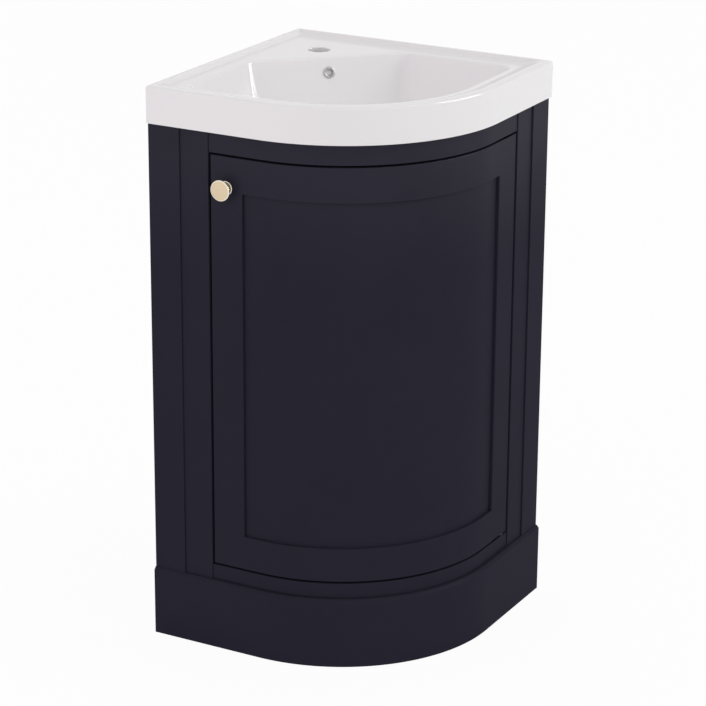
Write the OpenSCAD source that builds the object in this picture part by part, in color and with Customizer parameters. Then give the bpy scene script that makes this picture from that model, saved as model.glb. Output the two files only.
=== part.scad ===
// Corner vanity unit: a bow-fronted cabinet for a room corner, with a framed and panelled
// bow door on hidden pivots, a ceramic corner basin and its waste.
// The walls are the planes x = 0 and y = 0, the floor is z = 0, and the bow faces +x, -y.
// In plan the front is a straight length at each wall, joined by a quarter circle.

/* [Overall] */
// Length of the basin and of the plinth along each wall
wall_length = 420; // [400:1:480]
// Straight length of the front at each wall, before the curve starts
end_flat = 176; // [165:1:185]
// Height of the cabinet, from the floor to the underside of the basin
cabinet_height = 769; // [700:1:850]

/* [Plinth] */
// Height of the plinth
plinth_height = 104; // [90:1:140]
// Thickness of the bent plinth board
plinth_board = 18; // [15:1:22]
// Bevel on the top outer edge of the plinth
plinth_bevel = 4; // [1:0.5:6]
// Length of each block behind the plinth
block_length = 60; // [40:5:80]
// Depth of each block behind the plinth
block_depth = 28; // [20:1:40]
// Height of each block behind the plinth
block_height = 60; // [40:5:70]

/* [Cabinet] */
// Step from the plinth's face back to the end posts
post_setback = 5; // [3:0.5:8]
// Step from the end posts' face back to the face frame
frame_setback = 4; // [2:0.5:8]
// Thickness of the side panels
side_board = 15; // [12:1:18]
// Thickness of the base panel
base_board = 18; // [15:1:22]
// Width of each end post
post_width = 50; // [40:1:60]
// Thickness of the end posts
post_board = 20; // [16:1:22]
// Thickness of the face frame
frame_board = 20; // [18:1:24]
// Width of the face frame's stiles
stile_width = 45; // [40:1:50]
// Height of the face frame's bottom rail
bottom_rail_height = 22; // [20:1:30]
// Height of the face frame's top rail
top_rail_height = 30; // [24:1:40]
// Side of the square post in the back corner
corner_post_side = 30; // [24:1:40]
// Length of the corner brace's sides along the walls
brace_length = 80; // [70:1:85]
// Thickness of the corner brace
brace_board = 18; // [15:1:22]
// Width of the pipe cut-out in each side panel
cutout_width = 130; // [100:1:150]
// Height of the pipe cut-out
cutout_height = 150; // [100:1:180]
// Distance from the room corner to the pipe cut-out
cutout_start = 65; // [60:1:80]
// Drop of the pipe cut-out's upper edge below the cabinet's top
cutout_drop = 169; // [150:1:180]
// Radius of the pipe cut-out's corners
cutout_radius = 15; // [8:1:25]
// Radius of the wall fixing holes
fixing_radius = 3; // [2.5:0.1:4]
// Distance between the two wall fixing holes of a side panel
fixing_spacing = 200; // [160:1:220]
// Distance from the room corner to the first wall fixing hole
fixing_start = 120; // [110:1:130]
// Drop of the wall fixing holes below the cabinet's top
fixing_drop = 44; // [35:1:60]

/* [Door] */
// Gap round the door
door_gap = 3; // [2:0.5:4]
// Thickness of the door's frame
door_board = 20; // [18:1:24]
// Width of the door's stiles
door_stile = 50; // [46:1:55]
// Width of the door's rails
door_rail = 50; // [40:1:60]
// Thickness of the door's panel
panel_board = 6; // [4:0.5:8]
// Depth of the panel behind the door's face
panel_recess = 5; // [4:0.5:8]
// Depth of the grooves that hold the panel
groove_depth = 8; // [6:0.5:10]
// Clearance between the panel and its groove, on each side
groove_fit = 0.2; // [0.1:0.05:0.4]

/* [Knob] */
// Distance from the door's top down to the knob
knob_drop = 44; // [40:1:120]
// Radius of the knob's rose
rose_radius = 10.5; // [9:0.5:13]
// Thickness of the knob's rose
rose_board = 3; // [2:0.5:4]
// Radius of the knob's neck
neck_radius = 5; // [4:0.5:6]
// Radius of the knob's head
head_radius = 15; // [13:0.5:18]
// Distance from the door to the head's rim
head_reach = 15; // [13:0.5:22]
// Thickness of the head's rim
head_rim = 2.4; // [1.5:0.1:4]
// Rise of the head's dome in front of its rim
dome_rise = 3.6; // [2:0.1:6]

/* [Pivots] */
// Distance from the door's face to the pivot axis
pivot_inset = 6.5; // [6:0.1:8]
// Distance from the door's edge to the pivot axis
pivot_edge = 10.5; // [9:0.5:14]
// Radius of the pivot pins
pin_radius = 2.5; // [2:0.1:3]
// Length of each pin inside the door
pin_reach = 12; // [8:1:16]
// Length of each pin inside the frame's rail
pin_root = 10; // [8:1:12]
// Running clearance round a pin in the door's plate
pin_fit = 0.05; // [0.02:0.01:0.1]
// Width of the pivot plates
plate_width = 10; // [9:0.5:12]
// Length of the pivot plates
plate_length = 35; // [30:1:36]
// Thickness of the pivot plates
plate_board = 2.5; // [1.5:0.5:3]
// Clearance of the plates in their pockets
plate_fit = 0.1; // [0.05:0.05:0.3]
// Free play of the door above its washer
washer_play = 0.3; // [0.1:0.1:0.5]

/* [Screws] */
// Radius of the small screws' shanks
screw_radius = 1.6; // [1.2:0.1:2]
// Radius of the small screws' heads
screw_head = 3.2; // [2.6:0.1:3.6]
// Length of the small screws
screw_length = 14; // [12:1:16]
// Clearance round a screw in what it holds
screw_fit = 0.1; // [0.05:0.05:0.3]

/* [Shelf] */
// Distance from the cabinet's top down to the shelf
shelf_drop = 353; // [345:1:430]
// Thickness of the shelf
shelf_board = 16; // [15:1:19]
// Gap between the shelf and the side panels
shelf_fit = 0.5; // [0.3:0.1:1]
// Distance from the plinth's face back to the shelf's edge
shelf_setback = 48; // [46:1:60]
// Radius of the shelf pins' pegs
peg_radius = 2.5; // [2:0.5:3]
// Depth of the pegs in the side panels
peg_depth = 9; // [7:1:10]
// Radius of the shelf pins' heads
peg_head = 4; // [3.5:0.5:6]
// Length of the shelf pins' heads
peg_reach = 9; // [7:1:12]

/* [Catch] */
// Distance from the door's top down to the catch's middle
catch_drop = 136; // [105:1:240]
// Length of the catch
catch_length = 46; // [40:1:60]
// Depth of the catch and of the door stops
catch_depth = 15; // [12:1:18]
// Thickness of the catch's plate on the door
strike_board = 1.2; // [0.8:0.1:2]
// Gap between the catch and its plate
catch_gap = 0.4; // [0.3:0.1:0.6]
// Overlap of the catch and of the stops behind the door
catch_overlap = 15; // [10:1:18]
// Thickness of the flange that holds the catch to the frame
catch_flange = 6; // [4:0.5:8]
// Width of the flange
catch_width = 25; // [20:1:30]
// Length of each door stop
stop_length = 40; // [30:1:50]
// Distance of the door stops from the door's ends
stop_margin = 30; // [20:5:60]
// Gap between the stops and the door
stop_gap = 0.3; // [0.2:0.1:0.5]

/* [Basin] */
// Height of the basin's rim above its underside
basin_height = 53; // [48:1:70]
// Rounding of the basin's outer top edge
rim_round = 4; // [2:0.5:6]
// Drop from the rim to the basin's deck
deck_drop = 6.5; // [4:0.5:8]
// Thickness of the basin's deck
deck_board = 14; // [12:1:18]
// Thickness of the basin's apron
apron_board = 13; // [10:1:16]
// Width of the upstand's flat top along the walls
upstand_top = 5; // [4:0.5:8]
// Width of the upstand's slope along the walls
upstand_slope = 7; // [4:0.5:9]
// Width of the rim's flat top along the front
rim_top = 8; // [6:0.5:10]
// Width of the rim's slope along the front
rim_slope = 30; // [20:1:32]
// Radius of the deck's corners at the ends of the front
deck_round = 30; // [20:1:40]
// Distance from the basin's front to the bowl
bowl_front = 46; // [44:1:60]
// Distance from the walls to the bowl
bowl_wall = 36; // [30:1:45]
// Distance from the room corner to the bowl's back edge, along either wall
bowl_back = 237; // [220:1:250]
// Depth of the bowl below the deck
bowl_depth = 110; // [95:1:120]
// Radius of the bowl's upright corners
bowl_round = 22; // [15:1:30]
// Width of the rounding between the bowl's walls and its floor
bowl_curve = 62; // [50:1:70]
// Inward slope of the bowl's walls, as a share of the depth
bowl_draft = 0.12; // [0.05:0.01:0.2]
// Thickness of the bowl's walls and floor
bowl_board = 9; // [8:0.5:12]
// Radius of the tap hole
tap_radius = 16; // [15:0.5:17.5]
// Distance from each wall to the tap hole's centre
tap_place = 83; // [75:1:85]
// Radius of the overflow hole
overflow_radius = 7; // [6:0.5:8]
// Depth of the overflow's centre below the deck
overflow_drop = 22; // [20:1:26]
// Radius of the overflow ring's flange
ring_radius = 8.5; // [8:0.5:10]
// Thickness of the overflow ring's flange
ring_board = 1.5; // [1:0.1:2]
// Clearance of the overflow ring in its hole
ring_fit = 0.3; // [0.2:0.1:0.5]
// Radius of the duct from the overflow down to the waste
duct_radius = 4.5; // [3:0.5:5]
// Width of the overflow's channel outside the bowl
channel_width = 26; // [22:1:32]

/* [Waste] */
// Distance from each wall to the waste's centre
waste_place = 212; // [208:1:218]
// Radius of the waste's tail, which takes the trap
tail_radius = 20.95; // [19:0.05:21]
// Step from the tail out to the shank above it, which carries the back nut
shank_step = 0.25; // [0.1:0.05:0.5]
// Wall of the waste's tail
tail_wall = 2.5; // [2:0.1:3.5]
// Length of the tail below the bowl's floor
tail_length = 68; // [60:1:80]
// Clearance of the tail in the basin's waste hole
tail_fit = 2; // [1:0.5:3]
// Radius of the waste's flange
flange_radius = 32; // [30:0.5:34]
// Thickness of the waste's flange
flange_board = 2.5; // [2:0.5:3]
// Thickness of the seal under the flange
top_seal = 1; // [0.5:0.5:2]
// Thickness of the seal under the basin
under_seal = 4; // [3:0.5:6]
// Depth of the boss round the waste hole below the bowl's floor
waste_boss = 6; // [4:1:10]
// Height of the back nut
nut_height = 9; // [7:1:12]
// Width of the back nut across its flats
nut_flats = 58; // [54:1:62]
// Radius of the plug's cap
plug_radius = 27; // [24:0.5:29]
// Rise of the plug's dome
plug_rise = 4; // [3:0.5:6]
// Travel of the plug from shut to open
plug_travel = 8; // [6:1:10]
// Radius of the plug's stem
stem_radius = 4; // [3.5:0.5:5]
// Running clearance of the stem in the cartridge
stem_fit = 0.06; // [0.03:0.01:0.1]
// Outer radius of the cartridge
cartridge_radius = 8; // [7:0.5:10]
// Length of the cartridge
cartridge_length = 24; // [20:1:30]
// Gap between the plug's cap and the flange when shut
plug_gap = 0.3; // [0.2:0.1:0.5]

/* [Hidden] */
$fn = 96;
// Overrun of a cutting shape past the face that it cuts
cut = 1;

// Plan: the faces, measured from either wall
plinth_face = wall_length;
plinth_back = plinth_face - plinth_board;
post_face = plinth_face - post_setback;
post_back = post_face - post_board;
frame_face = post_face - frame_setback;
frame_back = frame_face - frame_board;
door_back = frame_face - door_board;
shelf_face = plinth_face - shelf_setback;

// Plan: where the frame and the door begin, measured along the front from either wall
opening_edge = post_width + stile_width;
door_edge = opening_edge + door_gap;
panel_edge = door_edge + door_stile;

// Levels above the floor
base_level = plinth_height - base_board;
opening_bottom = plinth_height + bottom_rail_height;
opening_top = cabinet_height - top_rail_height;
door_bottom = opening_bottom + door_gap;
door_top = opening_top - door_gap;
panel_bottom = door_bottom + door_rail;
panel_top = door_top - door_rail;
rim_level = cabinet_height + basin_height;
deck_level = rim_level - deck_drop;
floor_level = deck_level - bowl_depth;
boss_level = floor_level - bowl_board - waste_boss;
knob_level = door_top - knob_drop;
shelf_level = cabinet_height - shelf_drop;
catch_level = door_top - catch_drop;
cutout_level = cabinet_height - cutout_drop - cutout_height;

// Groove of the door's frame, measured inwards from the door's face
groove_front = panel_recess - groove_fit;
groove_width = panel_board + 2 * groove_fit;
// How far the panel enters its groove
panel_entry = groove_depth - 1;

// Pivot axis in plan
pivot_x = frame_face - pivot_inset;
pivot_y = -(door_edge + pivot_edge);

// Places of the two screws along a pivot plate, from the pivot axis
plate_screws = [12, 23];
// Depth of a small screw's countersink
sink_depth = screw_head - screw_radius;

// Radius, thread length and head height of the knob's bolt
knob_bolt = 2;
knob_bolt_head = 2.4;
knob_thread = rose_board + 9;
// Length of the knob's neck below its cove
neck_base = 2;
// Height of the shelf pins' axes, and their places along each side panel
peg_level = shelf_level - shelf_board - peg_head;
peg_places = [70, shelf_face - 20];
// Angle between the bowl's levels
bowl_step = 18;
// Softening of the bowl's edge, in width and in depth
lip_round = 4;
// Thickness of the slices that a blend runs between
skin = 0.02;
// Length of the overflow's hole, and the gap behind its ring
overflow_reach = 16;
seat_gap = 0.05;
// The overflow's channel along the diagonal: its back, its foot and its end at the waste
channel_back = bowl_back / sqrt(2) - 22;
channel_foot = channel_back + 52;
channel_bend = deck_level - 2 * channel_width;
waste_reach = waste_place * sqrt(2) - tail_radius;
duct_level = floor_level - bowl_board;
// Half the height of the slots in the waste's tail
slot_half = 4;
// Depth of the under seal's top below the bowl's floor
seal_depth = bowl_board + waste_boss;
// The waste's shank, and its end below the back nut
shank_radius = tail_radius + shank_step;
shank_length = seal_depth + under_seal + nut_height + 2;
// The cartridge's depth below the bowl's floor, and its arms
cartridge_top = 20;
arm_board = 3;
arm_height = 4;

// Colours
navy = [0.14, 0.14, 0.18];
carcass = [0.30, 0.31, 0.35];
ceramic = [0.93, 0.93, 0.93];
gold = [0.86, 0.78, 0.62];
steel = [0.72, 0.72, 0.74];
black_steel = [0.18, 0.18, 0.19];
nylon = [0.22, 0.22, 0.23];
rubber = [0.12, 0.12, 0.12];

// Shared forms ----------------------------------------------------------------------------

// Mirrors a piece of the left-hand side across the unit's diagonal to the right-hand side
module right_hand() {
    mirror([1, 1, 0]) children();
}

// The plan of the unit out to a face: a square with its outer corner rounded
module plan(face) {
    difference() {
        translate([0, -face]) square(face);
        difference() {
            translate([end_flat, -face - cut]) square(face - end_flat + cut);
            translate([end_flat, -end_flat]) circle(r = face - end_flat);
        }
    }
}

// The plan less a strip along both walls
module inner_plan(face, wall) {
    difference() {
        plan(face);
        translate([-cut, -wall]) square([face + 2 * cut, wall + cut]);
        translate([-cut, -face - cut]) square([wall + cut, face + 2 * cut]);
    }
}

// Sweeps a profile along the bow, from one point set off the wall to the other.
// The profile's x is the distance out from the face, and its y is the height.
module bow(face, start) {
    bow_end(face, start) children();
    right_hand() bow_end(face, start) children();
    translate([end_flat, -end_flat, 0]) rotate([0, 0, -90])
        rotate_extrude(angle = 90) translate([face - end_flat, 0]) children();
}

// The straight length of a bow at the right-hand wall
module bow_end(face, start) {
    translate([face, -start, 0]) rotate([90, 0, 0])
        linear_extrude(height = end_flat - start) children();
}

// A box given by its limits: off the left wall, off the right wall, and above the floor
module block(left, right, height) {
    translate([left[0], -right[1], height[0]])
        cube([left[1] - left[0], right[1] - right[0], height[1] - height[0]]);
}

// A countersunk screw along +z, with its head's face at z = 0 and a cross recess
module screw() {
    difference() {
        union() {
            cylinder(r1 = screw_head, r2 = screw_radius, h = sink_depth);
            cylinder(r = screw_radius, h = screw_length - screw_radius);
            translate([0, 0, screw_length - screw_radius])
                cylinder(r1 = screw_radius, r2 = screw_radius / 4, h = screw_radius);
        }
        for (turn = [0, 90])
            rotate([0, 0, turn])
                translate([-screw_head * 0.6, -screw_head * 0.12, -cut])
                    cube([screw_head * 1.2, screw_head * 0.24, cut + sink_depth * 0.6]);
    }
}

// The room that a screw takes in what it holds
module screw_room() {
    translate([0, 0, -cut]) cylinder(r = screw_head + screw_fit, h = cut);
    cylinder(r1 = screw_head + screw_fit, r2 = screw_radius + screw_fit, h = sink_depth);
    cylinder(r = screw_radius + screw_fit, h = screw_length + screw_fit);
}

// Plinth and carcass ----------------------------------------------------------------------

module plinth() {
    color(navy) bow(plinth_face, 0)
        polygon([
            [-plinth_board, 0], [0, 0], [0, plinth_height - plinth_bevel],
            [-plinth_bevel, plinth_height], [-plinth_board, plinth_height]
        ]);
}

// Blocks that join the plinth to the base panel: one on each straight, one in the bow
module plinth_blocks() {
    low = base_level - block_height;
    middle = (side_board + end_flat) / 2;
    turn = block_length / (plinth_back - end_flat) * 180 / PI;
    color(carcass) {
        straight_block(middle, low);
        right_hand() straight_block(middle, low);
        translate([end_flat, -end_flat, low]) rotate([0, 0, -45 - turn / 2])
            rotate_extrude(angle = turn)
                translate([plinth_back - block_depth - end_flat, 0])
                    square([block_depth, block_height]);
    }
}

module straight_block(middle, low) {
    block([middle - block_length / 2, middle + block_length / 2],
          [plinth_back - block_depth, plinth_back], [low, base_level]);
}

module base_panel() {
    color(carcass) translate([0, 0, base_level])
        linear_extrude(height = base_board) inner_plan(plinth_back, side_board);
}

// A side panel against the left wall, beginning at a distance from the right wall
module side_panel(start) {
    difference() {
        union() {
            block([0, side_board], [start, post_back], [0, cabinet_height]);
            block([0, side_board], [post_back - cut, plinth_back], [0, plinth_height]);
        }
        translate([side_board + cut, 0, 0]) rotate([90, 0, -90])
            linear_extrude(height = side_board + 2 * cut) pipe_cutout();
        for (place = [fixing_start, fixing_start + fixing_spacing])
            translate([-cut, -place, cabinet_height - fixing_drop]) rotate([0, 90, 0])
                cylinder(r = fixing_radius, h = side_board + 2 * cut);
        for (place = peg_places)
            translate([side_board - peg_depth, -place, peg_level]) rotate([0, 90, 0])
                cylinder(r = peg_radius + screw_fit, h = peg_depth + cut);
    }
}

// The pipe cut-out as it is seen on the side panel
module pipe_cutout() {
    translate([cutout_start + cutout_radius, cutout_level])
        square([cutout_width - 2 * cutout_radius, cutout_height]);
    translate([cutout_start, cutout_level + cutout_radius])
        square([cutout_width, cutout_height - 2 * cutout_radius]);
    for (along = [cutout_radius, cutout_width - cutout_radius])
        for (up = [cutout_radius, cutout_height - cutout_radius])
            translate([cutout_start + along, cutout_level + up]) circle(r = cutout_radius);
}

module left_side_panel() {
    color(carcass) side_panel(0);
}

module right_side_panel() {
    color(carcass) right_hand() side_panel(side_board);
}

module corner_post() {
    far = side_board + corner_post_side;
    color(carcass) block([side_board, far], [side_board, far],
                         [plinth_height, cabinet_height - brace_board]);
}

module corner_brace() {
    near = side_board;
    far = side_board + brace_length;
    color(carcass) translate([0, 0, cabinet_height - brace_board])
        linear_extrude(height = brace_board)
            polygon([[near, -near], [far, -near], [near, -far]]);
}

module end_post() {
    block([0, post_width], [post_back, post_face], [plinth_height, cabinet_height]);
}

module left_end_post() {
    color(navy) end_post();
}

module right_end_post() {
    color(navy) right_hand() end_post();
}

// Face frame ------------------------------------------------------------------------------

module frame_left_stile() {
    color(navy) difference() {
        frame_stile();
        for (side = [-1, 1]) catch_screw_place(side) screw_room();
    }
}

module frame_right_stile() {
    color(navy) right_hand() frame_stile();
}

module frame_stile() {
    block([post_width, opening_edge], [frame_back, frame_face],
          [plinth_height, cabinet_height]);
}

module frame_rail(low, high) {
    bow(frame_face, opening_edge)
        translate([-frame_board, low]) square([frame_board, high - low]);
}

module frame_top_rail() {
    color(navy) difference() {
        frame_rail(opening_top, cabinet_height);
        facing_down(opening_top) pivot_room(pin_radius + pin_fit, pin_root);
    }
}

module frame_bottom_rail() {
    color(navy) difference() {
        frame_rail(plinth_height, opening_bottom);
        facing_up(opening_bottom) pivot_room(pin_radius + pin_fit, pin_root);
    }
}

// Pivots ----------------------------------------------------------------------------------

// Puts a plate that shows its face downwards, or upwards, on the pivot axis
module facing_down(level) {
    translate([pivot_x, pivot_y, level]) children();
}

module facing_up(level) {
    translate([pivot_x, pivot_y, level]) mirror([0, 0, 1]) children();
}

// A pivot plate's outline, round at its pivot end
module plate_outline(grow) {
    half = plate_width / 2 + grow;
    circle(r = half);
    translate([-half, plate_width / 2 - plate_length - grow])
        square([2 * half, plate_length - plate_width / 2 + grow]);
}

module pivot_plate(hole) {
    difference() {
        linear_extrude(height = plate_board) plate_outline(0);
        translate([0, 0, -cut]) cylinder(r = hole, h = plate_board + 2 * cut);
        for (place = plate_screws) translate([0, -place, 0]) screw_room();
    }
}

// The pocket, the pin's hole and the screws' holes for a plate in its rail or stile
module pivot_room(hole, depth) {
    translate([0, 0, -cut])
        linear_extrude(height = plate_board + cut) plate_outline(plate_fit);
    cylinder(r = hole, h = depth);
    for (place = plate_screws) translate([0, -place, 0]) screw_room();
}

module plate_screw_pair() {
    for (place = plate_screws) translate([0, -place, 0]) screw();
}

module frame_pivot_plates() {
    color(black_steel) {
        facing_down(opening_top) pivot_plate(pin_radius + pin_fit);
        facing_up(opening_bottom) pivot_plate(pin_radius + pin_fit);
    }
}

module pivot_pins() {
    length = pin_root + door_gap + pin_reach;
    color(black_steel) {
        translate([pivot_x, pivot_y, door_top - pin_reach])
            cylinder(r = pin_radius, h = length);
        translate([pivot_x, pivot_y, opening_bottom - pin_root])
            cylinder(r = pin_radius, h = length);
    }
}

module frame_pivot_screws() {
    color(black_steel) {
        facing_down(opening_top) plate_screw_pair();
        facing_up(opening_bottom) plate_screw_pair();
    }
}

module pivot_washer() {
    color(nylon) translate([pivot_x, pivot_y, opening_bottom])
        linear_extrude(height = door_gap - washer_play)
            difference() {
                circle(r = plate_width / 2);
                circle(r = pin_radius + plate_fit);
            }
}

module door_pivot_plates() {
    color(black_steel) {
        facing_up(door_top) pivot_plate(pin_radius + pin_fit);
        facing_down(door_bottom) pivot_plate(pin_radius + pin_fit);
    }
}

module door_pivot_screws() {
    color(black_steel) {
        facing_up(door_top) plate_screw_pair();
        facing_down(door_bottom) plate_screw_pair();
    }
}

// Shelf -----------------------------------------------------------------------------------

module shelf() {
    notch = side_board + corner_post_side + shelf_fit;
    color(carcass) translate([0, 0, shelf_level - shelf_board])
        linear_extrude(height = shelf_board) difference() {
            inner_plan(shelf_face, side_board + shelf_fit);
            translate([0, -notch]) square(notch);
        }
}

module shelf_pins() {
    color(steel) {
        peg_pair();
        right_hand() peg_pair();
    }
}

module peg_pair() {
    for (place = peg_places)
        translate([side_board, -place, peg_level]) rotate([0, 90, 0]) {
            translate([0, 0, -peg_depth]) cylinder(r = peg_radius, h = peg_depth);
            cylinder(r = peg_head, h = peg_reach);
        }
}

// Catch and stops -------------------------------------------------------------------------

// The place of a catch screw, below or above the catch's middle, driven towards the front
module catch_screw_place(side) {
    translate([opening_edge - catch_width * 0.6, catch_flange - frame_back,
               catch_level + side * catch_length * 0.3])
        rotate([90, 0, 0]) children();
}

module catch_body() {
    half = catch_length / 2;
    color(nylon) difference() {
        union() {
            block([opening_edge - catch_width, opening_edge],
                  [frame_back - catch_flange, frame_back],
                  [catch_level - half, catch_level + half]);
            block([opening_edge - catch_flange, door_edge + catch_overlap],
                  [frame_back - catch_depth, door_back - strike_board - catch_gap],
                  [catch_level - half, catch_level + half]);
        }
        for (side = [-1, 1]) catch_screw_place(side) screw_room();
    }
}

module catch_screws() {
    color(steel) for (side = [-1, 1]) catch_screw_place(side) screw();
}

// Blocks behind the frame's left stile that the door closes against
module door_stops() {
    color(carcass) for (low = [door_bottom + stop_margin,
                               door_top - stop_margin - stop_length]) {
        block([opening_edge - catch_width, opening_edge],
              [frame_back - catch_depth, frame_back], [low, low + stop_length]);
        block([opening_edge - cut, door_edge + catch_overlap],
              [frame_back - catch_depth, door_back - stop_gap], [low, low + stop_length]);
    }
}

// The place of the strike plate's screw, driven towards the door's face
module strike_screw_place() {
    translate([door_edge + catch_overlap * 0.6, strike_board - door_back, catch_level])
        rotate([90, 0, 0]) children();
}

module strike_plate() {
    color(steel) difference() {
        block([door_edge + 1, door_edge + catch_overlap],
              [door_back - strike_board, door_back],
              [catch_level - catch_length * 0.35, catch_level + catch_length * 0.35]);
        strike_screw_place() screw_room();
    }
}

module strike_screws() {
    color(steel) strike_screw_place() screw();
}

// Door ------------------------------------------------------------------------------------

module door_stile() {
    difference() {
        block([door_edge, panel_edge], [door_back, frame_face], [door_bottom, door_top]);
        block([panel_edge - groove_depth, panel_edge + cut],
              [frame_face - groove_front - groove_width, frame_face - groove_front],
              [panel_bottom - groove_depth, panel_top + groove_depth]);
    }
}

module door_left_stile() {
    color(navy) difference() {
        door_stile();
        on_knob_axis() translate([0, 0, -door_board - cut])
            cylinder(r = knob_bolt + screw_fit, h = door_board + 2 * cut);
        strike_screw_place() screw_room();
    }
}

module door_right_stile() {
    hole = pin_radius + plate_fit;
    depth = pin_reach + door_gap;
    color(navy) difference() {
        right_hand() door_stile();
        facing_up(door_top) pivot_room(hole, depth);
        facing_down(door_bottom) pivot_room(hole, depth);
    }
}

// The groove in a door rail's profile, running inwards from its edge
module rail_groove(edge) {
    translate([-groove_front - groove_width, edge]) square([groove_width, groove_depth + cut]);
}

module door_top_rail() {
    color(navy) bow(frame_face, panel_edge) difference() {
        translate([-door_board, panel_top]) square([door_board, door_rail]);
        rail_groove(panel_top - cut);
    }
}

module door_bottom_rail() {
    color(navy) bow(frame_face, panel_edge) difference() {
        translate([-door_board, door_bottom]) square([door_board, door_rail]);
        rail_groove(panel_bottom - groove_depth);
    }
}

module door_panel() {
    color(navy) bow(frame_face, panel_edge - panel_entry)
        translate([-panel_recess - panel_board, panel_bottom - panel_entry])
            square([panel_board, panel_top - panel_bottom + 2 * panel_entry]);
}

// Knob ------------------------------------------------------------------------------------

// Turns +z outwards from the door's face, at the knob's place
module on_knob_axis() {
    translate([door_edge + door_stile / 2, -frame_face, knob_level])
        rotate([90, 0, 0]) children();
}

module knob_rose() {
    color(gold) on_knob_axis() rotate_extrude() difference() {
        union() {
            square([rose_radius, rose_board / 2]);
            square([rose_radius - rose_board / 2, rose_board]);
            translate([rose_radius - rose_board / 2, rose_board / 2])
                circle(r = rose_board / 2);
        }
        square([knob_bolt + screw_fit, rose_board]);
    }
}

module knob() {
    color(gold) on_knob_axis() rotate_extrude() difference() {
        knob_profile();
        square([knob_bolt, knob_thread]);
    }
}

// Half of the knob's section: a neck, a cove that flares out, a thin rim and a dome
module knob_profile() {
    cove = head_reach - rose_board - neck_base;
    dome_radius = (pow(head_radius - 1, 2) + pow(dome_rise, 2)) / (2 * dome_rise);
    difference() {
        union() {
            translate([0, rose_board]) square([neck_radius + cove, head_reach - rose_board]);
            translate([0, head_reach]) square([head_radius - head_rim / 2, head_rim]);
            translate([head_radius - head_rim / 2, head_reach + head_rim / 2])
                circle(r = head_rim / 2);
        }
        translate([neck_radius + cove, rose_board + neck_base]) circle(r = cove);
        translate([neck_radius, rose_board - cut])
            square([head_radius, neck_base + cut]);
    }
    intersection() {
        translate([0, head_reach + head_rim]) square([head_radius, dome_rise + cut]);
        translate([0, head_reach + head_rim + dome_rise - dome_radius])
            circle(r = dome_radius);
    }
}

module knob_screw() {
    color(steel) on_knob_axis() {
        translate([0, 0, -door_board]) cylinder(r = knob_bolt,
                                                h = door_board + knob_thread - 1);
        translate([0, 0, -door_board - knob_bolt_head])
            difference() {
                cylinder(r = 2 * knob_bolt, h = knob_bolt_head);
                for (turn = [0, 90])
                    rotate([0, 0, turn]) translate([-knob_bolt, -knob_bolt / 5, -cut])
                        cube([2 * knob_bolt, knob_bolt / 2.5, cut + knob_bolt_head / 2]);
            }
    }
}

// Basin -----------------------------------------------------------------------------------

// The inset of the bowl's wall, from the top of its side at 0 degrees to its floor at 90
function bowl_inset(angle) =
    bowl_curve * (1 - cos(angle)) + bowl_draft * bowl_depth * sin(angle);

// The top of the deck's recess, or its foot, with round ends and a square back corner
module deck_outline(wall, front) {
    offset(r = deck_round) offset(delta = -deck_round)
        inner_plan(wall_length - front, wall);
    translate([wall, -wall - 2 * deck_round]) square(2 * deck_round);
}

// The bowl's outline at an inset from its opening
module bowl_outline(inset) {
    corner = bowl_back + inset * sqrt(2);
    offset(r = bowl_round) offset(delta = -bowl_round)
        intersection() {
            inner_plan(wall_length - bowl_front - inset, bowl_wall + inset);
            polygon([[corner, 0], [wall_length, 0], [wall_length, -wall_length],
                     [0, -wall_length], [0, -corner]]);
        }
}

// The bowl's rounded form, grown outwards and downwards, open up to a level
module bowl_form(grow, top) {
    hull() {
        for (angle = [0 : bowl_step : 90])
            translate([0, 0, deck_level - (bowl_depth + grow) * sin(angle)])
                linear_extrude(height = skin) bowl_outline(bowl_inset(angle) - grow, $fn = 48);
        translate([0, 0, top]) linear_extrude(height = skin) bowl_outline(-grow, $fn = 48);
    }
}

// The recess of the deck below the rim and the upstands
module deck_recess() {
    hull() {
        translate([0, 0, rim_level]) linear_extrude(height = cut)
            deck_outline(upstand_top, rim_top, $fn = 64);
        translate([0, 0, deck_level]) linear_extrude(height = skin)
            deck_outline(upstand_top + upstand_slope, rim_top + rim_slope, $fn = 64);
    }
}

// The softened edge where the deck turns down into the bowl
module bowl_lip() {
    hull() {
        translate([0, 0, deck_level]) linear_extrude(height = cut)
            bowl_outline(-lip_round, $fn = 48);
        translate([0, 0, deck_level - lip_round]) linear_extrude(height = skin)
            bowl_outline(0, $fn = 48);
    }
}

// Stands a piece on the diagonal: its x runs out from the room corner towards the bow
module on_diagonal() {
    rotate([0, 0, -45]) children();
}

// The overflow's place in the bowl's back wall, with +z pointing into the bowl
module on_overflow_axis() {
    drop = bowl_depth * sin(bowl_step);
    inset = bowl_inset(bowl_step) * overflow_drop / drop;
    on_diagonal() translate([bowl_back / sqrt(2) + inset, 0, deck_level - overflow_drop])
        rotate([0, 90 - atan(bowl_inset(bowl_step) / drop), 0]) children();
}

// The channel outside the bowl that takes the overflow down to the waste
module overflow_channel() {
    on_diagonal() rotate([90, 0, 0]) translate([0, 0, -channel_width / 2])
        linear_extrude(height = channel_width)
            polygon([
                [channel_back, deck_level - deck_board / 2], [channel_back, channel_bend],
                [channel_foot, boss_level], [waste_reach, boss_level],
                [waste_reach, deck_level - deck_board / 2]
            ]);
}

module duct_run(from, to) {
    run = to - from;
    translate([from[0], 0, from[1]]) rotate([0, atan2(run[0], run[1]), 0])
        cylinder(r = duct_radius, h = norm(run));
}

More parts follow.
